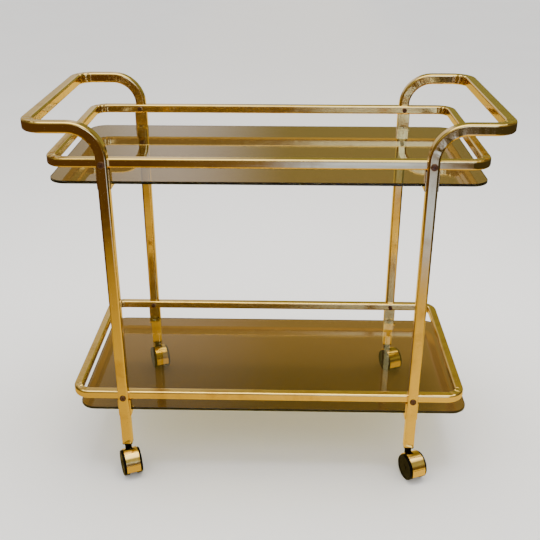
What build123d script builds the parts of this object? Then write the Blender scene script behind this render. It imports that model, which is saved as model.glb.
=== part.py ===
"""Bar cart: bent square-tube end frames, gallery rails, glass shelves and twin-wheel castors."""

import os
from math import cos, radians, sin

from build123d import *

# Driving dimensions, in millimetres and degrees.
# The cart's length runs along X, its front faces -Y and it stands on the floor at Z = 0.

# End frames: each is one square tube, front leg to handle to back leg
leg_pitch_x = 530.0
leg_pitch_y = 374.0
leg_tube = 19.0
leg_wall = 1.2
leg_corner = 4.0
leg_foot_height = 57.0
leg_bend_radius = 52.0
handle_rise = 60.0
handle_reach = 387.0
handle_bend_radius = 32.0

# Gallery rails, let into a notch in the inner side of every leg
rail_length = 726.0
rail_tube = 16.0
rail_wall = 1.0
rail_corner = 3.5
rail_bend_radius = 26.0
upper_rail_height = 604.0
lower_rail_height = 159.0
notch_depth = 9.5
notch_clearance = 0.15

# Rail screws and nuts
screw_diameter = 5.0
screw_head_diameter = 12.0
screw_head_height = 2.6
screw_crown_diameter = 7.6
screw_head_edge = 1.0
screw_hole_clearance = 0.1
screw_tip = 1.2
nut_across_flats = 8.0
nut_height = 4.0
nut_clearance = 0.05

# Glass shelves
glass_length = 727.0
glass_thickness = 5.0
glass_corner = 30.0
glass_edge_bevel = 0.6
glass_drop = 34.0
glass_side_clearance = 0.3
lower_glass_shift = 8.5

# Shelf brackets: a saddle round the leg's inner side with a ledge under the glass
bracket_fit = 0.1
bracket_web = 2.0
bracket_cheek = 2.0
bracket_wrap = 12.0
bracket_rail_gap = 1.0
bracket_ledge_depth = 14.0
bracket_ledge_thickness = 3.0
bracket_edge_bevel = 0.8
ledge_corner_radius = 4.0
bracket_screw_diameter = 4.0
bracket_screw_head_diameter = 7.2
bracket_screw_length = 9.0
pad_diameter = 8.0
pad_thickness = 1.0

# Castor sockets in the leg ends
socket_fit = 0.1
socket_depth = 26.0
socket_flange = 2.0
socket_lead_in = 1.0

# Castor stems and their grip rings
stem_diameter = 8.0
stem_fit = 0.05
stem_foot_height = 34.0
stem_top_clearance = 2.0
stem_end_clearance = 0.5
stem_lead_in = 0.5
ring_height = 1.4
ring_bite = 0.5
ring_depth_below_top = 5.0
ring_split = 2.0
ring_clearance = 0.1

# Castors: a hood over twin wheels, trailing behind the swivel axis
castor_turn = 22.0
castor_trail = 20.0
wheel_diameter = 48.0
wheel_width = 10.7
wheel_side_clearance = 0.3
wheel_edge_bevel = 1.0
wheel_hub_diameter = 14.0
wheel_rim_thickness = 4.0
wheel_inner_recess = 6.0
wheel_face_recess = 0.7
wheel_cap_diameter = 11.0
axle_diameter = 6.0
axle_fit = 0.05
axle_seat_clearance = 0.02
axle_lead_in = 0.4
axle_end_cover = 2.0
axle_end_clearance = 0.5
hood_width = 26.0
hood_wall = 1.2
hood_wheel_gap = 0.6
hood_neck_gap = 0.3
hood_apron_drop = 7.0
hood_crease_height = 7.0
hood_crease_width = 1.4
hood_crease_depth = 0.5
core_width = 13.0
core_seat_clearance = 0.1
core_hub_diameter = 16.0
core_rim = 3.0
core_rib = 2.0
core_rib_angle = 55.0
core_web = 3.0
neck_inset = 0.3
neck_top_diameter = 16.5
neck_cone_height = 6.5
neck_clearance = 0.4

# Places worked out from the driving dimensions
leg_x = leg_pitch_x / 2
leg_y = leg_pitch_y / 2
leg_inner_y = leg_y - leg_tube / 2
leg_outer_y = leg_y + leg_tube / 2
leg_bore = leg_tube - 2 * leg_wall
handle_height = upper_rail_height + handle_rise
rail_outer_y = leg_inner_y + notch_depth
rail_middle_y = rail_outer_y - rail_tube / 2
rail_inner_y = rail_outer_y - rail_tube
bracket_web_y = leg_inner_y - bracket_fit - bracket_web
glass_depth = 2 * (bracket_web_y - glass_side_clearance)
bracket_screw_head_height = (bracket_screw_head_diameter - bracket_screw_diameter) / 2
wheel_radius = wheel_diameter / 2
neck_radius = core_width / 2 - neck_inset
hood_inner_radius = wheel_radius + hood_wheel_gap
hood_outer_radius = hood_inner_radius + hood_wall
neck_top_height = leg_foot_height - socket_flange - neck_clearance
stem_top_height = leg_foot_height + socket_depth - stem_top_clearance
ring_middle_height = stem_top_height - ring_depth_below_top
axle_length = core_width + 2 * (wheel_side_clearance + wheel_width - axle_end_cover - axle_end_clearance)
cut_margin = 1.0

ENDS = {"left": -1, "right": 1}
SIDES = {"front": -1, "back": 1}
RAIL_HEIGHTS = {"upper": upper_rail_height, "lower": lower_rail_height}
LEGS = [(end, side) for end in ENDS.values() for side in SIDES.values()]
JOINTS = [(end, side, height) for end, side in LEGS for height in RAIL_HEIGHTS.values()]


def save(builder, name):
    """Label a finished piece and write it to its own file."""
    builder.part.label = name
    export_step(builder.part, f"parts/{name}.step")


def inward_plane(end, side, height):
    """A level plane on a leg's centre line whose Y axis points to the middle of the cart."""
    return Plane((end * leg_x, side * leg_y, height), x_dir=(-side, 0, 0), z_dir=(0, 0, 1))


def tube_section(size, wall, corner):
    """Section of a square tube: round corners outside, flattened corners in the bore."""
    with BuildSketch() as bore:
        Rectangle(size - 2 * wall, size - 2 * wall)
        chamfer(bore.vertices(), corner - wall)
    with BuildSketch() as section:
        RectangleRounded(size, size, corner)
        add(bore.sketch, mode=Mode.SUBTRACT)
    return section.sketch


def leg_handle(end):
    """One end frame: a square tube bent four times, notched for the rails and drilled for screws."""
    x = end * leg_x
    grip_x = end * handle_reach
    bends = (leg_bend_radius, handle_bend_radius, handle_bend_radius, leg_bend_radius)
    with BuildPart() as tube:
        with BuildLine():
            FilletPolyline(
                (x, -leg_y, leg_foot_height),
                (x, -leg_y, handle_height),
                (grip_x, -leg_y, handle_height),
                (grip_x, leg_y, handle_height),
                (x, leg_y, handle_height),
                (x, leg_y, leg_foot_height),
                radius=bends,
            )
        with BuildSketch(Plane((x, -leg_y, leg_foot_height))):
            add(tube_section(leg_tube, leg_wall, leg_corner))
        sweep()
        for side in SIDES.values():
            for height in RAIL_HEIGHTS.values():
                notch_y = side * (leg_inner_y + (notch_depth - cut_margin) / 2)
                with Locations((x, notch_y, height)):
                    Box(
                        leg_tube + 2 * cut_margin,
                        notch_depth + cut_margin,
                        rail_tube + 2 * notch_clearance,
                        mode=Mode.SUBTRACT,
                    )
                with BuildSketch(Plane((x, side * leg_y, height), z_dir=(0, side, 0))):
                    Circle(screw_diameter / 2 + screw_hole_clearance)
                extrude(amount=leg_tube, mode=Mode.SUBTRACT)
                pilot_height = bracket_screw_height(height)
                with BuildSketch(Plane((x, side * leg_y, pilot_height), z_dir=(0, -side, 0))):
                    Circle(bracket_screw_diameter / 2 + screw_hole_clearance)
                extrude(amount=leg_tube, mode=Mode.SUBTRACT)
    return tube


def gallery_rail(height):
    """One closed hoop of square tube, drilled right through where it meets each leg."""
    half_x = (rail_length - rail_tube) / 2
    with BuildPart() as hoop:
        with BuildLine() as route:
            FilletPolyline(
                (-half_x, rail_middle_y, height),
                (-half_x, -rail_middle_y, height),
                (half_x, -rail_middle_y, height),
                (half_x, rail_middle_y, height),
                radius=rail_bend_radius,
                close=True,
            )
        with BuildSketch(Plane(route.line @ 0, z_dir=route.line % 0)):
            add(tube_section(rail_tube, rail_wall, rail_corner))
        sweep()
        for end in ENDS.values():
            with BuildSketch(Plane((end * leg_x, 0, height), z_dir=(0, 1, 0))):
                Circle(screw_diameter / 2 + screw_hole_clearance)
            extrude(amount=leg_pitch_y, both=True, mode=Mode.SUBTRACT)
    return hoop


def glass_shelf(rail_height, shift):
    """One glass plate with rounded corners and bevelled edges."""
    top = rail_height - glass_drop
    with BuildPart() as plate:
        with BuildSketch(Plane((shift, 0, top - glass_thickness))):
            RectangleRounded(glass_length, glass_depth, glass_corner)
        extrude(amount=glass_thickness)
        chamfer(plate.faces().filter_by(Axis.Z).edges(), glass_edge_bevel)
    return plate


def bracket_screw_height(rail_height):
    """Half way between the rail's underside and the top of the glass."""
    return rail_height - (rail_tube / 2 + glass_drop) / 2


def ledge_top(rail_height):
    """Height of the bracket ledges under a shelf."""
    return rail_height - glass_drop - glass_thickness - pad_thickness


def web_plane(end, side, rail_height):
    """The inner face of a bracket's web at its screw, looking into the leg."""
    origin = (end * leg_x, side * bracket_web_y, bracket_screw_height(rail_height))
    return Plane(origin, z_dir=(0, side, 0))


def shelf_bracket(end, side, rail_height):
    """A saddle that hugs the leg's inner side, with a ledge under the edge of the glass."""
    width = leg_tube + 2 * (bracket_fit + bracket_cheek)
    slot_width = leg_tube + 2 * bracket_fit
    slot_end = leg_tube / 2 + bracket_fit
    back = leg_tube / 2 - bracket_wrap
    foot = ledge_top(rail_height) - bracket_ledge_thickness
    head = rail_height - rail_tube / 2 - bracket_rail_gap
    with BuildPart() as bracket:
        with BuildSketch(inward_plane(end, side, foot)):
            with Locations((0, back)):
                Rectangle(width, slot_end + bracket_web - back, align=(Align.CENTER, Align.MIN))
        extrude(amount=head - foot)
        chamfer(bracket.edges().filter_by(Axis.Z), bracket_edge_bevel)
        with BuildSketch(inward_plane(end, side, foot)) as ledge:
            with Locations((0, slot_end)):
                Rectangle(width, bracket_web + bracket_ledge_depth, align=(Align.CENTER, Align.MIN))
            fillet(ledge.vertices().group_by(Axis.Y)[0 if side > 0 else -1], ledge_corner_radius)
        extrude(amount=bracket_ledge_thickness)
        with BuildSketch(inward_plane(end, side, foot)):
            with Locations((0, slot_end)):
                Rectangle(slot_width, bracket_wrap + cut_margin, align=(Align.CENTER, Align.MAX))
        extrude(amount=head - foot, mode=Mode.SUBTRACT)
        with BuildSketch(web_plane(end, side, rail_height)):
            Circle(bracket_screw_head_diameter / 2 + screw_hole_clearance)
        extrude(amount=bracket_screw_head_height, taper=45, mode=Mode.SUBTRACT)
        with BuildSketch(web_plane(end, side, rail_height)):
            Circle(bracket_screw_diameter / 2 + screw_hole_clearance)
        extrude(amount=bracket_web + cut_margin, mode=Mode.SUBTRACT)
    return bracket


def bracket_screws():
    """Countersunk screws, flush with the bracket webs and driven into the legs."""
    with BuildPart() as screws:
        for end, side, height in JOINTS:
            with BuildSketch(web_plane(end, side, height)):
                Circle(bracket_screw_head_diameter / 2)
            extrude(amount=bracket_screw_head_height, taper=45)
            with BuildSketch(web_plane(end, side, height)):
                Circle(bracket_screw_diameter / 2)
            extrude(amount=bracket_screw_length)
    return screws


def glass_pads():
    """Soft round pads on the bracket ledges, under the glass."""
    with BuildPart() as pads:
        for end, side, height in JOINTS:
            with BuildSketch(inward_plane(end, side, ledge_top(height))):
                with Locations((0, leg_y - bracket_web_y + bracket_ledge_depth / 2)):
                    Circle(pad_diameter / 2)
            extrude(amount=pad_thickness)
    return pads


def rail_screws():
    """Low pan-head screws from the outer leg faces through leg and rail."""
    shank = screw_diameter / 2
    tip = rail_inner_y - leg_outer_y - nut_height - screw_tip
    half_section = [
        (0, screw_head_height),
        (screw_crown_diameter / 2, screw_head_height),
        (screw_head_diameter / 2, screw_head_edge),
        (screw_head_diameter / 2, 0),
        (shank, 0),
        (shank, tip),
        (0, tip),
    ]
    with BuildPart() as screws:
        for end, side, height in JOINTS:
            face = Plane((end * leg_x, side * leg_outer_y, height), x_dir=(1, 0, 0), z_dir=(0, 0, side))
            with BuildSketch(face):
                with BuildLine():
                    Polyline(half_section, close=True)
                make_face()
            revolve(axis=Axis(face.origin, face.y_dir))
    return screws


def rail_nuts():
    """Hexagon nuts on the inner faces of the rails."""
    with BuildPart() as nuts:
        for end, side, height in JOINTS:
            with BuildSketch(Plane((end * leg_x, side * rail_inner_y, height), z_dir=(0, -side, 0))):
                RegularPolygon(nut_across_flats / 2, 6, major_radius=False)
                Circle(screw_diameter / 2 + nut_clearance, mode=Mode.SUBTRACT)
            extrude(amount=nut_height)
    return nuts


def castor_plane(end, side):
    """The floor under a leg, with X along the castor's axle and Y against its trail."""
    turn = radians(castor_turn)
    return Plane((end * leg_x, side * leg_y, 0), x_dir=(cos(turn), sin(turn), 0), z_dir=(0, 0, 1))


def side_plane(castor):
    """Side view of a castor on its axle: X along the trail, Y up."""
    axle = castor.from_local_coords((0, -castor_trail, wheel_radius))
    return Plane(axle, x_dir=-castor.y_dir, z_dir=-castor.x_dir)


def axle_plane(castor):
    """Half section of a castor's wheels: X along the axle, Y up."""
    axle = castor.from_local_coords((0, -castor_trail, wheel_radius))
    return Plane(axle, x_dir=castor.x_dir, z_dir=-castor.y_dir)


def castor_socket(castor):
    """A plug in the open end of the leg, with a flange below it and a bore for the stem."""
    plug = leg_bore - 2 * socket_fit
    with BuildPart() as socket:
        with BuildSketch(Plane(castor.origin).offset(leg_foot_height)) as section:
            Rectangle(plug, plug)
            chamfer(section.vertices(), leg_corner - leg_wall)
        extrude(amount=socket_depth)
        chamfer(socket.faces().sort_by(Axis.Z)[-1].edges(), socket_lead_in)
        with BuildSketch(Plane(castor.origin).offset(leg_foot_height - socket_flange)):
            RectangleRounded(leg_tube, leg_tube, leg_corner)
        extrude(amount=socket_flange)
        with BuildSketch(castor.offset(leg_foot_height - socket_flange)):
            Circle(stem_diameter / 2 + stem_fit)
        extrude(amount=socket_flange + socket_depth, mode=Mode.SUBTRACT)
        with BuildSketch(castor.offset(ring_middle_height)):
            Circle(stem_diameter / 2 + ring_bite + ring_clearance)
        extrude(amount=ring_height / 2 + ring_clearance, both=True, mode=Mode.SUBTRACT)
    return socket


def castor_stem(castor):
    """The steel pin that the castor swivels on, grooved for its grip ring."""
    with BuildPart() as stem:
        with BuildSketch(castor.offset(stem_foot_height)):
            Circle(stem_diameter / 2)
        extrude(amount=stem_top_height - stem_foot_height)
        chamfer(stem.edges().filter_by(GeomType.CIRCLE), stem_lead_in)
        with BuildSketch(castor.offset(ring_middle_height)):
            Circle(stem_diameter / 2)
            Circle(stem_diameter / 2 - ring_bite - ring_clearance, mode=Mode.SUBTRACT)
        extrude(amount=ring_height / 2 + ring_clearance, both=True, mode=Mode.SUBTRACT)
    return stem


def grip_rings():
    """Split spring rings that hold the stems in their sockets."""
    with BuildPart() as rings:
        for end, side in LEGS:
            with BuildSketch(castor_plane(end, side).offset(ring_middle_height)):
                Circle(stem_diameter / 2 + ring_bite)
                Circle(stem_diameter / 2 - ring_bite, mode=Mode.SUBTRACT)
                Rectangle(stem_diameter, ring_split, align=(Align.MIN, Align.CENTER), mode=Mode.SUBTRACT)
            extrude(amount=ring_height / 2, both=True)
    return rings


def castor_core(castor):
    """The black middle of the castor: rim under the hood, axle boss and swivel neck in one piece."""
    radius = hood_inner_radius - core_seat_clearance
    with BuildPart() as core:
        with BuildSketch(side_plane(castor)):
            Circle(radius)
            Rectangle(2 * radius, radius, align=(Align.CENTER, Align.MAX), mode=Mode.SUBTRACT)
            Circle(core_hub_diameter / 2)
        extrude(amount=core_width / 2, both=True)
        for hand in (-1, 1):
            with BuildSketch(side_plane(castor).offset(hand * core_width / 2)):
                Circle(radius - core_rim)
                Circle(core_hub_diameter / 2 + core_rib, mode=Mode.SUBTRACT)
                with Locations((0, core_rib)):
                    Rectangle(2 * radius, radius, align=(Align.CENTER, Align.MAX), mode=Mode.SUBTRACT)
                with Locations((neck_radius + core_rib - castor_trail, 0)):
                    Rectangle(radius, radius, align=(Align.MAX, Align.MIN), mode=Mode.SUBTRACT)
                Rectangle(2 * radius, core_rib, rotation=core_rib_angle, mode=Mode.SUBTRACT)
            extrude(amount=-hand * (core_width - core_web) / 2, mode=Mode.SUBTRACT)
        with BuildSketch(Plane(castor.origin, x_dir=castor.x_dir, z_dir=-castor.y_dir)):
            with BuildLine():
                Polyline(
                    (0, wheel_radius),
                    (neck_radius, wheel_radius),
                    (neck_radius, neck_top_height - neck_cone_height),
                    (neck_top_diameter / 2, neck_top_height),
                    (0, neck_top_height),
                    close=True,
                )
            make_face()
        revolve(axis=Axis(castor.origin, castor.z_dir))
        with BuildSketch(castor.offset(stem_foot_height - stem_end_clearance)):
            Circle(stem_diameter / 2 + stem_fit)
        extrude(amount=neck_top_height - stem_foot_height + stem_end_clearance, mode=Mode.SUBTRACT)
        with BuildSketch(side_plane(castor)):
            Circle(axle_diameter / 2 + axle_seat_clearance)
        extrude(amount=core_width, both=True, mode=Mode.SUBTRACT)
    return core


def castor_hood(castor):
    """The brass sheet over the wheels: an arch that drops into an apron, creased across its front."""
    crease_x = (hood_outer_radius**2 - hood_crease_height**2) ** 0.5 - hood_crease_depth
    with BuildPart() as hood:
        with BuildSketch(side_plane(castor)):
            Circle(hood_outer_radius)
            Circle(hood_inner_radius, mode=Mode.SUBTRACT)
            Rectangle(
                2 * hood_outer_radius,
                hood_outer_radius,
                align=(Align.CENTER, Align.MAX),
                mode=Mode.SUBTRACT,
            )
            with Locations((hood_inner_radius, 0)):
                Rectangle(hood_wall, hood_apron_drop, align=(Align.MIN, Align.MAX))
            with Locations((crease_x, hood_crease_height)):
                Rectangle(
                    hood_wall, hood_crease_width, align=(Align.MIN, Align.CENTER), mode=Mode.SUBTRACT
                )
        extrude(amount=hood_width / 2, both=True)
        with BuildSketch(castor):
            Circle(neck_radius + hood_neck_gap)
        extrude(amount=neck_top_height, mode=Mode.SUBTRACT)
    return hood


def castor_axle(castor):
    """A steel pin through the core that both wheels turn on."""
    with BuildPart() as axle:
        with BuildSketch(side_plane(castor)):
            Circle(axle_diameter / 2)
        extrude(amount=axle_length / 2, both=True)
        chamfer(axle.edges().filter_by(GeomType.CIRCLE), axle_lead_in)
    return axle


def castor_wheel(castor, hand):
    """One wheel, left (-1) or right (+1): a closed outer face and a hollow inner side round its hub."""
    inner = core_width / 2 + wheel_side_clearance
    outer = inner + wheel_width
    bore = axle_diameter / 2 + axle_fit
    hub = wheel_hub_diameter / 2
    rim = wheel_radius - wheel_rim_thickness
    cap = wheel_cap_diameter / 2
    profile = [
        (inner, bore),
        (inner, hub),
        (inner + wheel_inner_recess, hub),
        (inner + wheel_inner_recess, rim),
        (inner, rim),
        (inner, wheel_radius),
        (outer, wheel_radius),
        (outer, rim),
        (outer - wheel_face_recess, rim - wheel_face_recess),
        (outer - wheel_face_recess, cap),
        (outer, cap - wheel_face_recess),
        (outer, 0),
        (outer - axle_end_cover, 0),
        (outer - axle_end_cover, bore),
    ]
    half_section = axle_plane(castor)
    with BuildPart() as wheel:
        with BuildSketch(half_section):
            with BuildLine():
                Polyline([(hand * x, y) for x, y in profile], close=True)
            make_face()
        revolve(axis=Axis(half_section.origin, half_section.x_dir))
        rings = wheel.edges().filter_by(GeomType.CIRCLE)
        tread = rings.filter_by(lambda ring: abs(ring.radius - wheel_radius) < 0.001)
        chamfer(tread, wheel_edge_bevel)
    return wheel


os.makedirs("parts", exist_ok=True)

for end_name, end in ENDS.items():
    save(leg_handle(end), f"{end_name}_leg_handle")
for level, height in RAIL_HEIGHTS.items():
    save(gallery_rail(height), f"{level}_gallery_rail")
save(glass_shelf(upper_rail_height, 0.0), "upper_glass_shelf")
save(glass_shelf(lower_rail_height, lower_glass_shift), "lower_glass_shelf")
save(rail_screws(), "rail_screws")
save(rail_nuts(), "rail_nuts")
save(bracket_screws(), "bracket_screws")
save(glass_pads(), "glass_pads")
save(grip_rings(), "stem_grip_rings")

for side_name, side in SIDES.items():
    for end_name, end in ENDS.items():
        corner = f"{side_name}_{end_name}"
        for level, height in RAIL_HEIGHTS.items():
            save(shelf_bracket(end, side, height), f"{corner}_{level}_bracket")
        castor = castor_plane(end, side)
        save(castor_socket(castor), f"{corner}_castor_socket")
        save(castor_stem(castor), f"{corner}_castor_stem")
        save(castor_core(castor), f"{corner}_castor_core")
        save(castor_hood(castor), f"{corner}_castor_hood")
        save(castor_axle(castor), f"{corner}_castor_axle")
        save(castor_wheel(castor, -1), f"{corner}_castor_left_wheel")
        save(castor_wheel(castor, 1), f"{corner}_castor_right_wheel")
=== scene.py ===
"""Looks of a brass and smoked-glass bar cart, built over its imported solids."""

import math

import bmesh
import bpy
from mathutils import Matrix, Vector


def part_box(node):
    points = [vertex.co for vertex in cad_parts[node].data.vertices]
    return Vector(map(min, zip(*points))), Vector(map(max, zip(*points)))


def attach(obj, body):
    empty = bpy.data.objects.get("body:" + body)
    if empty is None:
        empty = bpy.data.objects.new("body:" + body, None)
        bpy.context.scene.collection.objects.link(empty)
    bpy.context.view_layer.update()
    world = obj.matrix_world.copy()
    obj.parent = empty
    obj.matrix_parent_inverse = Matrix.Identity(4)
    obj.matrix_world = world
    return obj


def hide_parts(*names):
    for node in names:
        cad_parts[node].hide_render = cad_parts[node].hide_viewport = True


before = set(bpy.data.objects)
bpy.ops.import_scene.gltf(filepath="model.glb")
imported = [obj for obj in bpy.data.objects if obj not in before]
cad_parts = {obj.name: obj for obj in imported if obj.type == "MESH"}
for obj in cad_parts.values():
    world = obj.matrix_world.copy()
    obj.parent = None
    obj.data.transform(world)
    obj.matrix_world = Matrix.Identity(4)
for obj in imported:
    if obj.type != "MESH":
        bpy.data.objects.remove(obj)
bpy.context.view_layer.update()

bl_info = {
    "name": "Bar Cart Looks",
    "version": (1, 0, 0),
    "blender": (4, 5, 0),
    "location": "3D View > Sidebar > Bar Cart",
    "description": "Finishes, screws, pads, light and camera for a bar cart on castors",
    "category": "Object",
}

CORNERS = ("front_left", "front_right", "back_left", "back_right")
LEVELS = ("upper", "lower")
SIDES = (-1, 1)
BLACK = (0, 0, 0, 1)
PAD_SEGMENTS = 24
SHARP_ANGLE = math.radians(40)
SHEET_REACH = 12.0
SENSOR_WIDTH = 36.0
FACE_ORDER = Vector((1.0, 0.37, 0.113))

# The ripples at a bend: how far round they wander, where they rise and fade across its radius,
# and what is left of them on its outer side
QUARTERS_IN_TURN = 4.0
RIPPLE_WANDER = 0.25
RIPPLE_RISE = 0.3
RIPPLE_INNER = 0.55
RIPPLE_LEFT_OUTSIDE = 0.15

# The colour sockets of a Mix node
MIX_FACTOR, MIX_FIRST, MIX_SECOND, MIX_RESULT = 0, 6, 7, 2

# Cosines of the angles where the painted highlight ends and where it is full
SPOT_EDGE = 0.966
SPOT_CORE = 0.988


class CartFinish(bpy.types.PropertyGroup):
    """Colours of the cart's finishes and the sizes of their marks."""

    brass: bpy.props.FloatVectorProperty(
        name="Brass", description="Polished brass plate on tubes, brackets and hoods",
        subtype="COLOR", size=4, min=0, max=1, default=(0.90, 0.66, 0.25, 1))
    tarnish: bpy.props.FloatVectorProperty(
        name="Tarnish", description="Browner brass where the plate has dulled",
        subtype="COLOR", size=4, min=0, max=1, default=(0.60, 0.37, 0.11, 1))
    pit: bpy.props.FloatVectorProperty(
        name="Pits", description="Dark specks where the plate is pitted",
        subtype="COLOR", size=4, min=0, max=1, default=(0.27, 0.15, 0.045, 1))
    glass: bpy.props.FloatVectorProperty(
        name="Glass", description="Tint of the smoked glass through its thickness",
        subtype="COLOR", size=4, min=0, max=1, default=(0.57, 0.52, 0.26, 1))
    fastener: bpy.props.FloatVectorProperty(
        name="Fastener", description="Dark brown of the rail screws and nuts",
        subtype="COLOR", size=4, min=0, max=1, default=(0.085, 0.034, 0.013, 1))
    plastic: bpy.props.FloatVectorProperty(
        name="Plastic", description="Black plastic of the castors",
        subtype="COLOR", size=4, min=0, max=1, default=(0.0025, 0.0022, 0.0022, 1))
    steel: bpy.props.FloatVectorProperty(
        name="Steel", description="Stems, axles and grip rings",
        subtype="COLOR", size=4, min=0, max=1, default=(0.55, 0.54, 0.52, 1))
    pad: bpy.props.FloatVectorProperty(
        name="Pad", description="Soft pads under the glass",
        subtype="COLOR", size=4, min=0, max=1, default=(0.62, 0.60, 0.55, 1))
    rail_bend: bpy.props.FloatProperty(
        name="Rail bend", description="Outer radius of the rails' corners",
        unit="LENGTH", default=0.034)
    handle_bend: bpy.props.FloatProperty(
        name="Handle bend", description="Outer radius of the handles' corners",
        unit="LENGTH", default=0.0415)
    leg_bend: bpy.props.FloatProperty(
        name="Leg bend", description="Outer radius of the bend from leg to handle",
        unit="LENGTH", default=0.0615)
    crimp_depth: bpy.props.FloatProperty(
        name="Crimp depth", description="Height of the ripples that bending left in the tubes",
        unit="LENGTH", default=0.0009)
    leg_crimp_share: bpy.props.FloatProperty(
        name="Leg crimp", description="Share of that height at the wider bend of the legs",
        subtype="FACTOR", min=0, max=1, default=0.2)


class CartFixings(bpy.types.PropertyGroup):
    """Sizes of the screws that hold rails and brackets, and of the pads under the glass."""

    rail_crown: bpy.props.FloatProperty(
        name="Rail screw crown", description="Radius of the flat on a rail screw's head",
        unit="LENGTH", default=0.0038)
    rail_shoulder: bpy.props.FloatProperty(
        name="Rail screw shoulder", description="Radius where a rail screw's head rounds over",
        unit="LENGTH", default=0.0053)
    rail_shoulder_share: bpy.props.FloatProperty(
        name="Rail screw shoulder height",
        description="Height of that rounding, as a share of the head's height",
        subtype="FACTOR", min=0, max=1, default=0.82)
    rail_head: bpy.props.FloatProperty(
        name="Rail screw head", description="Radius of a rail screw's head",
        unit="LENGTH", default=0.006)
    rail_edge_share: bpy.props.FloatProperty(
        name="Rail screw edge height",
        description="Height of the head's upright edge, as a share of the head's height",
        subtype="FACTOR", min=0, max=1, default=0.40)
    rail_height: bpy.props.FloatProperty(
        name="Rail screw height", description="Height of a rail screw's head",
        unit="LENGTH", default=0.0026)
    rail_shank: bpy.props.FloatProperty(
        name="Rail screw shank", description="Radius of a rail screw's shank",
        unit="LENGTH", default=0.0025)
    rail_length: bpy.props.FloatProperty(
        name="Rail screw length", description="Length of a rail screw under its head",
        unit="LENGTH", default=0.0307)
    bracket_head: bpy.props.FloatProperty(
        name="Bracket screw head", description="Radius of a bracket screw's flush head",
        unit="LENGTH", default=0.0036)
    bracket_shank: bpy.props.FloatProperty(
        name="Bracket screw shank", description="Radius of a bracket screw's shank",
        unit="LENGTH", default=0.002)
    bracket_length: bpy.props.FloatProperty(
        name="Bracket screw length", description="Length of a bracket screw with its head",
        unit="LENGTH", default=0.009)
    recess_reach: bpy.props.FloatProperty(
        name="Recess reach", description="Share of a screw's flat that its cross recess takes",
        subtype="FACTOR", min=0.1, max=0.9, default=0.68)
    recess_depth: bpy.props.FloatProperty(
        name="Recess depth", description="Depth of the cross recess in the screws",
        unit="LENGTH", default=0.0012)
    recess_taper: bpy.props.FloatProperty(
        name="Recess taper", description="Size of the recess's floor, as a share of its mouth",
        subtype="FACTOR", min=0.1, max=1, default=0.75)
    pad_radius: bpy.props.FloatProperty(
        name="Pad radius", description="Radius of the pads under the glass",
        unit="LENGTH", default=0.004)
    pad_height: bpy.props.FloatProperty(
        name="Pad height", description="Thickness of the pads under the glass",
        unit="LENGTH", default=0.001)
    pad_rim: bpy.props.FloatProperty(
        name="Pad rim", description="How far the pads' rims are softened",
        unit="LENGTH", default=0.0003)


class CartStage(bpy.types.PropertyGroup):
    """Camera, floor and light round the cart."""

    camera_place: bpy.props.FloatVectorProperty(
        name="Camera place", description="Where the camera stands",
        subtype="TRANSLATION", unit="LENGTH", size=3, default=(0.03318, -1.41582, 0.99752))
    camera_pitch: bpy.props.FloatProperty(
        name="Camera pitch", description="How far the camera looks down",
        unit="ROTATION", default=math.radians(25.249))
    camera_yaw: bpy.props.FloatProperty(
        name="Camera yaw", description="How far the camera looks to the left",
        unit="ROTATION", default=math.radians(1.334))
    camera_lens: bpy.props.FloatProperty(
        name="Lens", description="Focal length on a 36 mm sensor",
        unit="CAMERA", default=53.36)
    floor: bpy.props.FloatVectorProperty(
        name="Floor", description="Pale studio floor",
        subtype="COLOR", size=4, min=0, max=1, default=(0.93, 0.925, 0.915, 1))
    surround: bpy.props.FloatVectorProperty(
        name="Surround", description="Even pale light from all round",
        subtype="COLOR", size=4, min=0, default=(1.38, 1.365, 1.34, 1))
    # Painted shade: floor and surround are painted this much darker where seen through the glass.
    through_glass_shade: bpy.props.FloatVectorProperty(
        name="Smoke", description="How dark floor and surround look through the glass",
        subtype="COLOR", size=4, min=0, max=1, default=(0.235, 0.132, 0.055, 1))
    light_place: bpy.props.FloatVectorProperty(
        name="Light place", description="Where the overhead light hangs",
        subtype="TRANSLATION", unit="LENGTH", size=3, default=(0.1, 0.1, 2.4))
    light_size: bpy.props.FloatVectorProperty(
        name="Light size", description="Width and depth of the overhead light",
        unit="LENGTH", size=2, default=(1.6, 1.2))
    light_power: bpy.props.FloatProperty(
        name="Light power", description="Power of the overhead light",
        unit="POWER", default=36)
    light_color: bpy.props.FloatVectorProperty(
        name="Light colour", description="Colour of the overhead light",
        subtype="COLOR", size=3, min=0, max=1, default=(1.0, 0.98, 0.95))
    light_spread: bpy.props.FloatProperty(
        name="Light spread", description="How widely the overhead light shines",
        unit="ROTATION", default=math.radians(150))


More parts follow.
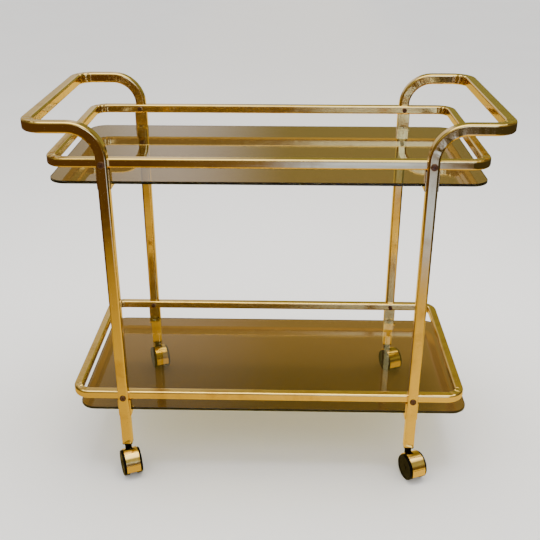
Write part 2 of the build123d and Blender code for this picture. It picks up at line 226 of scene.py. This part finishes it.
class CartMirror(bpy.types.PropertyGroup):
    """Painted reflections: colours that only gloss sees, on a glowing sheet at the floor and in a
    gradient all round.
    """

    # Painted reflections: the warm, dark and cool colours below glow on a sheet at the floor that
    # only gloss sees, not on the floor itself.
    warm_left: bpy.props.FloatVectorProperty(
        name="Warm left", description="Glow under the cart's left end",
        subtype="COLOR", size=4, min=0, default=(0.82, 0.56, 0.10, 1))
    warm_right: bpy.props.FloatVectorProperty(
        name="Warm right", description="Glow under the cart's right end",
        subtype="COLOR", size=4, min=0, default=(1.14, 0.81, 0.18, 1))
    dark_left: bpy.props.FloatVectorProperty(
        name="Dark left", description="Floor farther off on the left",
        subtype="COLOR", size=4, min=0, default=(0.10, 0.05, 0.02, 1))
    dark_middle: bpy.props.FloatVectorProperty(
        name="Dark middle", description="Floor farther off ahead",
        subtype="COLOR", size=4, min=0, default=(0.27, 0.19, 0.08, 1))
    dark_right: bpy.props.FloatVectorProperty(
        name="Dark right", description="Floor farther off on the right",
        subtype="COLOR", size=4, min=0, default=(0.06, 0.05, 0.03, 1))
    patch: bpy.props.FloatVectorProperty(
        name="Patch", description="Cool patch on the floor ahead",
        subtype="COLOR", size=4, min=0, default=(0.80, 1.10, 2.6, 1))
    patch_place: bpy.props.FloatVectorProperty(
        name="Patch place", description="Middle of the cool patch",
        subtype="XYZ", unit="LENGTH", size=2, default=(0.35, -1.88))
    # Painted reflections of the surround by direction, which only gloss sees; the bright spot
    # ahead is a painted highlight.
    far_left: bpy.props.FloatVectorProperty(
        name="Far left", description="Low behind the cart, far to the left",
        subtype="COLOR", size=4, min=0, default=(0.66, 0.58, 0.42, 1))
    low_left: bpy.props.FloatVectorProperty(
        name="Low left", description="Low behind the cart, to the left",
        subtype="COLOR", size=4, min=0, default=(1.04, 0.97, 0.93, 1))
    low_right: bpy.props.FloatVectorProperty(
        name="Low right", description="Low behind the cart, to the right",
        subtype="COLOR", size=4, min=0, default=(0.29, 0.275, 0.085, 1))
    high_left: bpy.props.FloatVectorProperty(
        name="High left", description="High behind the cart, to the left",
        subtype="COLOR", size=4, min=0, default=(0.55, 0.46, 0.28, 1))
    high_right: bpy.props.FloatVectorProperty(
        name="High right", description="High behind the cart, to the right",
        subtype="COLOR", size=4, min=0, default=(0.38, 0.31, 0.07, 1))
    beside: bpy.props.FloatVectorProperty(
        name="Beside", description="To both sides of the cart",
        subtype="COLOR", size=4, min=0, default=(0.14, 0.11, 0.05, 1))
    ahead_low: bpy.props.FloatVectorProperty(
        name="Ahead low", description="Low ahead of the cart",
        subtype="COLOR", size=4, min=0, default=(0.16, 0.11, 0.04, 1))
    ahead_high: bpy.props.FloatVectorProperty(
        name="Ahead high", description="High ahead of the cart",
        subtype="COLOR", size=4, min=0, default=(0.50, 0.46, 0.22, 1))
    spot: bpy.props.FloatVectorProperty(
        name="Spot", description="Bright spot ahead of the cart",
        subtype="COLOR", size=4, min=0, default=(2.2, 2.8, 4.4, 1))
    spot_direction: bpy.props.FloatVectorProperty(
        name="Spot direction", description="Where the bright spot lies",
        subtype="DIRECTION", size=3, default=(0.22, -0.90, 0.36))
    zenith: bpy.props.FloatVectorProperty(
        name="Zenith", description="Straight above the cart",
        subtype="COLOR", size=4, min=0, default=(3.4, 3.1, 2.2, 1))


class Shading:
    """A node tree, with short calls for the nodes that the finishes and the surround share."""

    def __init__(self, tree):
        self.tree = tree
        self.coordinates = tree.nodes.new("ShaderNodeTexCoord")

    def feed(self, node, socket, value):
        """Links an output to a socket, or sets the socket's own value."""
        if isinstance(value, bpy.types.NodeSocket):
            self.tree.links.new(value, node.inputs[socket])
        else:
            node.inputs[socket].default_value = value

    def axes(self, vector):
        """The three parts of a vector."""
        node = self.tree.nodes.new("ShaderNodeSeparateXYZ")
        self.feed(node, "Vector", vector)
        return node.outputs["X"], node.outputs["Y"], node.outputs["Z"]

    def math(self, operation, first, second=0.0):
        """One sum on one or two values."""
        node = self.tree.nodes.new("ShaderNodeMath")
        node.operation = operation
        self.feed(node, 0, first)
        self.feed(node, 1, second)
        return node.outputs["Value"]

    def offset(self, value, middle):
        """How far a value lies from a middle, to either side."""
        return self.math("ABSOLUTE", self.math("SUBTRACT", value, middle))

    def spread(self, value, low, high, out_low=0.0, out_high=1.0):
        """A value's range eased into another range and held at its ends."""
        node = self.tree.nodes.new("ShaderNodeMapRange")
        node.interpolation_type = "SMOOTHSTEP"
        self.feed(node, "Value", value)
        ends = {"From Min": low, "From Max": high, "To Min": out_low, "To Max": out_high}
        for socket, number in ends.items():
            self.feed(node, socket, number)
        return node.outputs["Result"]

    def blend(self, factor, first, second):
        """Two colours mixed by a factor."""
        node = self.tree.nodes.new("ShaderNodeMix")
        node.data_type = "RGBA"
        self.feed(node, MIX_FACTOR, factor)
        self.feed(node, MIX_FIRST, first)
        self.feed(node, MIX_SECOND, second)
        return node.outputs[MIX_RESULT]

    def ray(self, kind):
        """Whether a ray is of a kind."""
        return self.tree.nodes.new("ShaderNodeLightPath").outputs[kind]


class Finish(Shading):
    """A material in the making."""

    def __init__(self, name, **values):
        self.material = bpy.data.materials.new(name)
        self.material.use_nodes = True
        super().__init__(self.material.node_tree)
        self.place = self.coordinates.outputs["Object"]
        self.shader = self.tree.nodes["Principled BSDF"]
        self.normal = None
        for socket, value in values.items():
            self.paint(socket, value)

    def paint(self, socket, value):
        """Feeds one socket of the shader."""
        self.feed(self.shader, socket.replace("_", " "), value)

    def noise(self, scale, detail=3.0, stretch=(1, 1, 1)):
        """Noise over the piece, drawn out along an axis where its factor is small."""
        mapping = self.tree.nodes.new("ShaderNodeMapping")
        self.feed(mapping, "Vector", self.place)
        self.feed(mapping, "Scale", stretch)
        texture = self.tree.nodes.new("ShaderNodeTexNoise")
        self.feed(texture, "Vector", mapping.outputs["Vector"])
        self.feed(texture, "Scale", scale)
        self.feed(texture, "Detail", detail)
        return texture.outputs["Fac"]

    def emboss(self, height, depth, strength=1.0):
        """Lays relief over what is there already."""
        node = self.tree.nodes.new("ShaderNodeBump")
        self.feed(node, "Height", height)
        self.feed(node, "Distance", depth)
        self.feed(node, "Strength", strength)
        if self.normal:
            self.feed(node, "Normal", self.normal)
        self.normal = node.outputs["Normal"]
        self.paint("Normal", self.normal)

    def crimp(self, across, along, radius, waves, depth):
        """Uneven ripples round a bend, given its two distances from the bend's centre."""
        uneven = self.spread(self.noise(scale=60), 0.2, 0.8, out_high=RIPPLE_WANDER)
        turn = self.math("ADD", self.math("ARCTAN2", along, across), uneven)
        wave = self.math("SINE", self.math("MULTIPLY", turn, QUARTERS_IN_TURN * waves))
        bend = self.spread(self.math("MINIMUM", across, along), 0.0, RIPPLE_RISE * radius)
        squares = self.math("POWER", across, 2.0), self.math("POWER", along, 2.0)
        distance = self.math("SQRT", self.math("ADD", *squares))
        inner = self.spread(distance, RIPPLE_INNER * radius, radius, 1.0, RIPPLE_LEFT_OUTSIDE)
        self.emboss(self.math("MULTIPLY", self.math("MULTIPLY", wave, bend), inner), depth)


def dress(finish, *names):
    """Gives CAD nodes their material."""
    for name in names:
        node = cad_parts[name]
        node.data.materials.clear()
        node.data.materials.append(finish.material)


def paler(color, gain, lift):
    """A colour made paler, for scuffed and rubbed spots."""
    return tuple(min(1.0, gain * part + lift) for part in color[:3]) + (1,)


def brass_plate(name, colors, grain):
    """Polished plate: a little wavy, rubbed along its length, browner in patches and pitted."""
    finish = Finish(name, Metallic=1.0)
    patches = finish.spread(finish.noise(scale=24, detail=4), 0.50, 0.78, out_high=0.55)
    plate = finish.blend(patches, colors.brass, colors.tarnish)
    pits = finish.spread(finish.noise(scale=620, detail=1), 0.71, 0.80)
    finish.paint("Base_Color", finish.blend(pits, plate, colors.pit))
    rubbed = finish.noise(scale=150, detail=4, stretch=grain)
    finish.paint("Roughness", finish.spread(rubbed, 0.30, 0.75, out_low=0.08, out_high=0.21))
    finish.emboss(finish.noise(scale=45, detail=1), depth=0.0012, strength=0.10)
    finish.emboss(finish.noise(scale=900, detail=2, stretch=grain), depth=0.0002, strength=0.08)
    return finish


def smoked_glass(name, tint):
    """Bronze glass with a faint wipe of dust and ground edges."""
    finish = Finish(name, Transmission_Weight=1.0, IOR=1.5, Base_Color=tint)
    _, _, upright = finish.axes(finish.coordinates.outputs["Normal"])
    edge = finish.spread(finish.math("ABSOLUTE", upright), 0.8, 0.5, out_high=0.4)
    wipe = finish.noise(scale=14, detail=4, stretch=(1, 2.5, 1))
    dust = finish.spread(wipe, 0.45, 0.80, out_high=0.04)
    finish.paint("Roughness", finish.math("ADD", edge, dust))
    return finish


def moulded_plastic(name, color, smooth, rough):
    """Plastic with a fine moulded grain and dulled scuffs."""
    finish = Finish(name, Specular_IOR_Level=0.05)
    scuffs = finish.noise(scale=160, detail=5)
    scuffed = finish.spread(scuffs, 0.58, 0.85, out_high=0.5)
    pale = paler(color, gain=1.6, lift=0.012)
    finish.paint("Base_Color", finish.blend(scuffed, color, pale))
    finish.paint("Roughness", finish.spread(scuffs, 0.3, 0.7, smooth, rough))
    finish.emboss(finish.noise(scale=2600, detail=2), depth=0.0002, strength=0.2)
    return finish


def worn_metal(name, color, metallic, smooth, rough):
    """Small steel and darkened pieces with rubbed spots."""
    finish = Finish(name, Metallic=metallic)
    rub = finish.noise(scale=420, detail=4)
    rubbed = finish.spread(rub, 0.58, 0.80, out_high=0.5)
    pale = paler(color, gain=2.2, lift=0.02)
    finish.paint("Base_Color", finish.blend(rubbed, color, pale))
    finish.paint("Roughness", finish.spread(rub, 0.3, 0.7, smooth, rough))
    finish.emboss(rub, depth=0.0001, strength=0.3)
    return finish


def turn_down(shape, ring, profile):
    """Carries a ring of edges down a profile of radii and heights, and closes its end."""
    for (radius, height), (wider, above) in zip(profile[1:], profile):
        grown = bmesh.ops.extrude_edge_only(shape, edges=ring)["geom"]
        verts = [item for item in grown if isinstance(item, bmesh.types.BMVert)]
        edges = [item for item in grown if isinstance(item, bmesh.types.BMEdge)]
        ring = [edge for edge in edges if edge.is_boundary]
        bmesh.ops.scale(shape, vec=(radius / wider, radius / wider, 1), verts=verts)
        bmesh.ops.translate(shape, vec=(0, 0, height - above), verts=verts)
    bmesh.ops.edgeloop_fill(shape, edges=ring)
    bmesh.ops.recalc_face_normals(shape, faces=shape.faces[:])
    # Extrusion makes its faces in no fixed order, and this puts them in a fixed one
    shape.faces.sort(key=lambda face: face.calc_center_median().dot(FACE_ORDER))


def set_copies(name, shape, places, finish):
    """Copies a small shape to its places, as one piece on the cart's frame."""
    mesh = bpy.data.meshes.new(name)
    whole = bmesh.new()
    for place in places:
        copy = shape.copy()
        bmesh.ops.transform(copy, matrix=place, verts=copy.verts[:])
        copy.to_mesh(mesh)
        copy.free()
        whole.from_mesh(mesh)
    shape.free()
    for face in whole.faces:
        face.smooth = True
    whole.to_mesh(mesh)
    whole.free()
    mesh.set_sharp_from_angle(angle=SHARP_ANGLE)
    mesh.materials.append(finish.material)
    piece = bpy.data.objects.new(name, mesh)
    bpy.context.scene.collection.objects.link(piece)
    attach(piece, "frame")
    return piece


class CART_OT_tubes(bpy.types.Operator):
    """Finish the end frames and gallery rails in polished brass, crimped at their bends"""

    bl_idname = "cart.tubes"
    bl_label = "Tubes and rails"

    def execute(self, context):
        colors = context.scene.cart_finish
        self.end_frames(colors)
        self.rails(colors)
        return {"FINISHED"}

    def end_frames(self, colors):
        """Brass rubbed upwards, crimped at the handles' corners and faintly at the legs' bends."""
        low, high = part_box("right_leg_handle")
        finish = brass_plate("end frame brass", colors, grain=(1, 1, 0.06))
        x, y, z = finish.axes(finish.place)
        out = finish.math("ABSOLUTE", x)
        sideways = finish.math("ABSOLUTE", y)
        across = finish.math("SUBTRACT", out, high[0] - colors.handle_bend)
        along = finish.math("SUBTRACT", sideways, high[1] - colors.handle_bend)
        finish.crimp(across, along, colors.handle_bend, waves=3, depth=colors.crimp_depth)
        inward = finish.math("SUBTRACT", low[0] + colors.leg_bend, out)
        upward = finish.math("SUBTRACT", z, high[2] - colors.leg_bend)
        faint = colors.leg_crimp_share * colors.crimp_depth
        finish.crimp(inward, upward, colors.leg_bend, waves=4, depth=faint)
        dress(finish, "left_leg_handle", "right_leg_handle")

    def rails(self, colors):
        """Brass rubbed lengthwise, crimped at the rails' corners."""
        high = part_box("upper_gallery_rail")[1]
        finish = brass_plate("rail brass", colors, grain=(0.06, 0.3, 1))
        x, y, _ = finish.axes(finish.place)
        out = finish.math("ABSOLUTE", x)
        sideways = finish.math("ABSOLUTE", y)
        across = finish.math("SUBTRACT", out, high[0] - colors.rail_bend)
        along = finish.math("SUBTRACT", sideways, high[1] - colors.rail_bend)
        finish.crimp(across, along, colors.rail_bend, waves=3, depth=colors.crimp_depth)
        dress(finish, "upper_gallery_rail", "lower_gallery_rail")


class CART_OT_shelves(bpy.types.Operator):
    """Finish the glass shelves and their brackets, and model the pads between them"""

    bl_idname = "cart.shelves"
    bl_label = "Glass shelves"

    def execute(self, context):
        colors = context.scene.cart_finish
        glass = smoked_glass("smoked glass", colors.glass)
        dress(glass, "upper_glass_shelf", "lower_glass_shelf")
        brackets = (f"{corner}_{level}_bracket" for corner in CORNERS for level in LEVELS)
        dress(brass_plate("bracket brass", colors, grain=(1, 1, 0.2)), *brackets)
        soft = moulded_plastic("soft pad", colors.pad, smooth=0.45, rough=0.6)
        self.pads(context.scene.cart_fixings, soft)
        return {"FINISHED"}

    def pads(self, sizes, finish):
        """A round pad with a softened rim on each bracket's ledge."""
        radius, height, rim = sizes.pad_radius, sizes.pad_height, sizes.pad_rim
        flat = radius - rim
        shape = bmesh.new()
        top = Matrix.Translation((0, 0, height))
        bmesh.ops.create_circle(
            shape, cap_ends=True, segments=PAD_SEGMENTS, radius=flat, matrix=top)
        profile = ((flat, height), (radius, height - rim), (radius, rim), (flat, 0.0))
        turn_down(shape, shape.edges[:], profile)
        low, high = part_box("glass_pads")
        places = [
            Matrix.Translation((x, y, z))
            for x in (low[0] + radius, high[0] - radius)
            for y in (low[1] + radius, high[1] - radius)
            for z in (low[2], high[2] - height)
        ]
        pads = set_copies("round_glass_pads", shape, places, finish)
        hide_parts("glass_pads")


class CART_OT_fasteners(bpy.types.Operator):
    """Model the screws with a cross recess in each head, and finish them and the nuts"""

    bl_idname = "cart.fasteners"
    bl_label = "Screws and nuts"

    def execute(self, context):
        colors = context.scene.cart_finish
        sizes = context.scene.cart_fixings
        dark = worn_metal("dark fastener", colors.fastener, metallic=0.4, smooth=0.22, rough=0.40)
        dress(dark, "rail_nuts")
        shape = self.screw(sizes, self.rail_profile(sizes))
        places = self.places("rail_screws", sizes.rail_head, sizes.rail_height, facing=1)
        screws = set_copies("cross_rail_screws", shape, places, dark)
        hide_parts("rail_screws")
        brass = brass_plate("screw brass", colors, grain=(1, 1, 1))
        shape = self.screw(sizes, self.bracket_profile(sizes))
        places = self.places("bracket_screws", sizes.bracket_head, sizes.bracket_length, facing=-1)
        screws = set_copies("cross_bracket_screws", shape, places, brass)
        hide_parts("bracket_screws")
        return {"FINISHED"}

    def places(self, node, head, reach, facing):
        """Where the node has its screws, with their heads facing out of the cart or into it."""
        low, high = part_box(node)
        turns = {}
        for side in SIDES:
            up = Vector((0, side * facing, 0))
            turns[side] = up.to_track_quat("Z", "X").to_matrix().to_4x4()
        return [
            Matrix.Translation((x, side * (high[1] - reach), z)) @ turn
            for x in (low[0] + head, high[0] - head)
            for side, turn in turns.items()
            for z in (low[2] + head, high[2] - head)
        ]

    def rail_profile(self, sizes):
        """Radius and height of a rail screw's rings, from its flat to its tip."""
        return (
            (sizes.rail_crown, sizes.rail_height),
            (sizes.rail_shoulder, sizes.rail_shoulder_share * sizes.rail_height),
            (sizes.rail_head, sizes.rail_edge_share * sizes.rail_height),
            (sizes.rail_head, 0.0),
            (sizes.rail_shank, 0.0),
            (sizes.rail_shank, -sizes.rail_length),
        )

    def bracket_profile(self, sizes):
        """Radius and height of a bracket screw's rings, from its flush flat to its tip."""
        return (
            (sizes.bracket_head, 0.0),
            (sizes.bracket_shank, sizes.bracket_shank - sizes.bracket_head),
            (sizes.bracket_shank, -sizes.bracket_length),
        )

    def screw(self, sizes, profile):
        """One upright screw: a cross sunk into its flat, then ring after ring to its tip."""
        shape = bmesh.new()
        crown, top = profile[0]
        cross, rim = self.cross(shape, sizes.recess_reach * crown)
        # The ring stands above the cross while they are bridged, or the bridge would twist
        verts = bmesh.ops.create_circle(
            shape, segments=len(rim), radius=crown, matrix=Matrix.Translation((0, 0, crown))
        )["verts"]
        ring = list(dict.fromkeys(edge for vert in verts for edge in vert.link_edges))
        bmesh.ops.bridge_loops(shape, edges=rim + ring)
        bmesh.ops.translate(shape, vec=(0, 0, -crown), verts=verts)
        bmesh.ops.translate(shape, vec=(0, 0, top), verts=shape.verts[:])
        sunk = bmesh.ops.extrude_face_region(shape, geom=cross)["geom"]
        floor = [item for item in sunk if isinstance(item, bmesh.types.BMVert)]
        bmesh.ops.delete(shape, geom=cross, context="FACES")
        bmesh.ops.scale(shape, vec=(sizes.recess_taper, sizes.recess_taper, 1), verts=floor)
        bmesh.ops.translate(shape, vec=(0, 0, -sizes.recess_depth), verts=floor)
        turn_down(shape, ring, profile)
        return shape

    def cross(self, shape, reach):
        """The faces of a flat cross and the edges of its rim, cut from a grid of nine faces."""
        bmesh.ops.create_grid(shape, x_segments=3, y_segments=3, size=reach)
        arm = reach / 3
        centres = {face: face.calc_center_median() for face in shape.faces}
        corners = [face for face, at in centres.items() if min(abs(at.x), abs(at.y)) > arm]
        bmesh.ops.delete(shape, geom=corners, context="FACES")
        rim = [edge for edge in shape.edges if edge.is_boundary]
        bmesh.ops.subdivide_edges(shape, edges=rim, cuts=1)
        return shape.faces[:], [edge for edge in shape.edges if edge.is_boundary]


class CART_OT_castors(bpy.types.Operator):
    """Finish the castors: brass hoods, black wheels and bodies, steel pins"""

    bl_idname = "cart.castors"
    bl_label = "Castors"

    def execute(self, context):
        colors = context.scene.cart_finish
        hood = brass_plate("hood brass", colors, grain=(1, 1, 0.3))
        wheel = moulded_plastic("wheel plastic", colors.plastic, smooth=0.30, rough=0.5)
        body = moulded_plastic("castor body plastic", colors.plastic, smooth=0.45, rough=0.65)
        steel = worn_metal("pin steel", colors.steel, metallic=1.0, smooth=0.2, rough=0.4)
        for corner in CORNERS:
            dress(hood, f"{corner}_castor_hood")
            dress(wheel, f"{corner}_castor_left_wheel", f"{corner}_castor_right_wheel")
            dress(body, f"{corner}_castor_core", f"{corner}_castor_socket")
            dress(steel, f"{corner}_castor_stem", f"{corner}_castor_axle")
        dress(steel, "stem_grip_rings")
        return {"FINISHED"}


class CART_OT_stage(bpy.types.Operator):
    """Lay the floor and set up the light and the camera"""

    bl_idname = "cart.stage"
    bl_label = "Stage"

    def execute(self, context):
        stage = context.scene.cart_stage
        mirror = context.scene.cart_mirror
        self.lay_floor(stage, mirror)
        self.surround(context, stage, mirror)
        self.light(context, stage)
        self.place_camera(context, stage)
        return {"FINISHED"}

    def sheet(self, name, finish):
        """A wide flat sheet under the cart."""
        shape = bmesh.new()
        bmesh.ops.create_grid(shape, x_segments=1, y_segments=1, size=SHEET_REACH)
        mesh = bpy.data.meshes.new(name)
        shape.to_mesh(mesh)
        shape.free()
        mesh.materials.append(finish.material)
        sheet = bpy.data.objects.new(name, mesh)
        bpy.context.scene.collection.objects.link(sheet)
        return sheet

    def through_glass(self, color, stage):
        """A colour with painted shade: darker and browner, as where it is seen through the glass.
        """
        return tuple(part * dark for part, dark in zip(color, stage.through_glass_shade))

    def lay_floor(self, stage, mirror):
        """A pale floor with painted shade where it is seen through the glass, over a sheet of
        painted reflections that only gloss sees.
        """
        finish = Finish("floor")
        painted_glass_shade = self.through_glass(stage.floor, stage)
        # Painted shade: the floor is painted darker for rays that came through the glass.
        seen = finish.blend(finish.ray("Is Transmission Ray"), stage.floor, painted_glass_shade)
        finish.paint("Base_Color", seen)
        mottle = finish.noise(scale=3, detail=2)
        finish.paint("Roughness", finish.spread(mottle, 0.3, 0.7, out_low=0.75, out_high=0.85))
        self.sheet("floor", finish).visible_glossy = False
        # The floor is hidden from gloss; this sheet glows with painted reflections that only gloss
        # sees.
        painted_reflection = self.sheet("painted_reflection", self.painted_reflection(mirror))
        painted_reflection.visible_camera = False
        painted_reflection.visible_diffuse = False
        painted_reflection.visible_transmission = False
        painted_reflection.visible_shadow = False

    def painted_reflection(self, mirror):
        """Painted reflections on a sheet that glows for gloss only: warm near the cart, dark
        farther off, and cool ahead of its right end.
        """
        finish = Finish("painted_reflection", Base_Color=BLACK, Specular_IOR_Level=0.0, Emission_Strength=1.0)
        x, y, _ = finish.axes(finish.place)
        left = finish.blend(finish.spread(x, -0.7, 0.2), mirror.dark_left, mirror.dark_middle)
        dark = finish.blend(finish.spread(x, 0.55, 0.95), left, mirror.dark_right)
        warm = finish.blend(finish.spread(x, -0.45, 0.40), mirror.warm_left, mirror.warm_right)
        near = finish.spread(y, -1.65, -0.40)
        middle = finish.spread(finish.math("ABSOLUTE", x), 1.1, 0.5)
        # Painted reflection of the ground: warm near the middle of the cart, dark farther off.
        ground = finish.blend(finish.math("MULTIPLY", near, middle), dark, warm)
        # A cool painted reflection ahead of the cart's right end.
        patch_x, patch_y = mirror.patch_place
        across = finish.spread(finish.offset(x, patch_x), 0.44, 0.12)
        ahead = finish.spread(finish.offset(y, patch_y), 1.0, 0.3)
        patch = finish.math("MULTIPLY", across, ahead)
        finish.paint("Emission_Color", finish.blend(patch, ground, mirror.patch))
        return finish

    def surround(self, context, stage, mirror):
        """An even pale surround, painted darker where seen through the glass, which gloss sees as
        warm painted reflections: bright low behind, dim ahead.
        """
        world = bpy.data.worlds.new("studio")
        context.scene.world = world
        world.use_nodes = True
        studio = Shading(world.node_tree)
        mirrored = self.mirrored(studio, mirror)
        painted_glass_shade = self.through_glass(stage.surround, stage)
        # Painted shade: the surround is painted darker for rays that came through the glass.
        plain = studio.blend(studio.ray("Is Transmission Ray"), stage.surround, painted_glass_shade)
        view = studio.blend(studio.ray("Is Glossy Ray"), plain, mirrored)
        studio.feed(world.node_tree.nodes["Background"], "Color", view)
        world.cycles.sampling_method = "NONE"

    def mirrored(self, studio, mirror):
        """Painted reflections: what gloss sees of the surround, by direction, with a painted
        highlight ahead and a bright zenith.
        """
        x, y, z = studio.axes(studio.coordinates.outputs["Generated"])
        right = studio.spread(x, -0.15, 0.01)
        left = studio.blend(studio.spread(x, -0.28, -0.15), mirror.far_left, mirror.low_left)
        low = studio.blend(right, left, mirror.low_right)
        high = studio.blend(right, mirror.high_left, mirror.high_right)
        behind = studio.blend(studio.spread(z, 0.34, 0.60), low, high)
        around = studio.blend(studio.spread(y, 0.30, 0.80), mirror.beside, behind)
        dim = studio.blend(studio.spread(z, 0.22, 0.50), mirror.ahead_low, mirror.ahead_high)
        # A painted highlight: the bright spot that gloss sees ahead.
        ahead = studio.blend(self.facing(studio, mirror.spot_direction), dim, mirror.spot)
        level = studio.blend(studio.spread(y, -0.6, 0.2), ahead, around)
        return studio.blend(studio.spread(z, 0.76, 0.94), level, mirror.zenith)

    def facing(self, studio, direction):
        """How nearly a reflection points in a direction."""
        node = studio.tree.nodes.new("ShaderNodeVectorMath")
        node.operation = "DOT_PRODUCT"
        studio.feed(node, 0, studio.coordinates.outputs["Generated"])
        studio.feed(node, 1, Vector(direction).normalized())
        return studio.spread(node.outputs["Value"], SPOT_EDGE, SPOT_CORE)

    def light(self, context, stage):
        """A broad light over the cart for its shadow, which neither camera nor gloss sees."""
        light = bpy.data.lights.new("overhead", "AREA")
        light.shape = "RECTANGLE"
        light.size, light.size_y = stage.light_size
        light.energy = stage.light_power
        light.color = stage.light_color
        light.spread = stage.light_spread
        holder = bpy.data.objects.new("overhead", light)
        holder.location = stage.light_place
        holder.visible_camera = False
        holder.visible_glossy = False
        context.scene.collection.objects.link(holder)

    def place_camera(self, context, stage):
        """The camera, where it sees the cart as the photograph does."""
        camera = bpy.data.cameras.new("camera")
        camera.lens = stage.camera_lens
        camera.sensor_width = SENSOR_WIDTH
        holder = bpy.data.objects.new("camera", camera)
        holder.location = stage.camera_place
        holder.rotation_euler = (math.radians(90) - stage.camera_pitch, 0, stage.camera_yaw)
        context.scene.collection.objects.link(holder)
        context.scene.camera = holder


STEPS = (CART_OT_tubes, CART_OT_shelves, CART_OT_fasteners, CART_OT_castors, CART_OT_stage)


class CART_PT_panel(bpy.types.Panel):
    """Buttons for each group of pieces, with the cart's colours and sizes below"""

    bl_idname = "CART_PT_panel"
    bl_label = "Bar Cart"
    bl_space_type = "VIEW_3D"
    bl_region_type = "UI"
    bl_category = "Bar Cart"

    def draw(self, context):
        scene = context.scene
        for step in STEPS:
            self.layout.operator(step.bl_idname)
        for group in (scene.cart_finish, scene.cart_fixings, scene.cart_stage, scene.cart_mirror):
            for name in group.__annotations__:
                self.layout.prop(group, name)


CLASSES = (CartFinish, CartFixings, CartStage, CartMirror, *STEPS, CART_PT_panel)


def register():
    for item in CLASSES:
        bpy.utils.register_class(item)
    bpy.types.Scene.cart_finish = bpy.props.PointerProperty(type=CartFinish)
    bpy.types.Scene.cart_fixings = bpy.props.PointerProperty(type=CartFixings)
    bpy.types.Scene.cart_stage = bpy.props.PointerProperty(type=CartStage)
    bpy.types.Scene.cart_mirror = bpy.props.PointerProperty(type=CartMirror)


def unregister():
    del bpy.types.Scene.cart_mirror
    del bpy.types.Scene.cart_stage
    del bpy.types.Scene.cart_fixings
    del bpy.types.Scene.cart_finish
    for item in reversed(CLASSES):
        bpy.utils.unregister_class(item)


def main():
    register()
    bpy.ops.cart.tubes()
    bpy.ops.cart.shelves()
    bpy.ops.cart.fasteners()
    bpy.ops.cart.castors()
    bpy.ops.cart.stage()


if __name__ == "__main__":
    main()
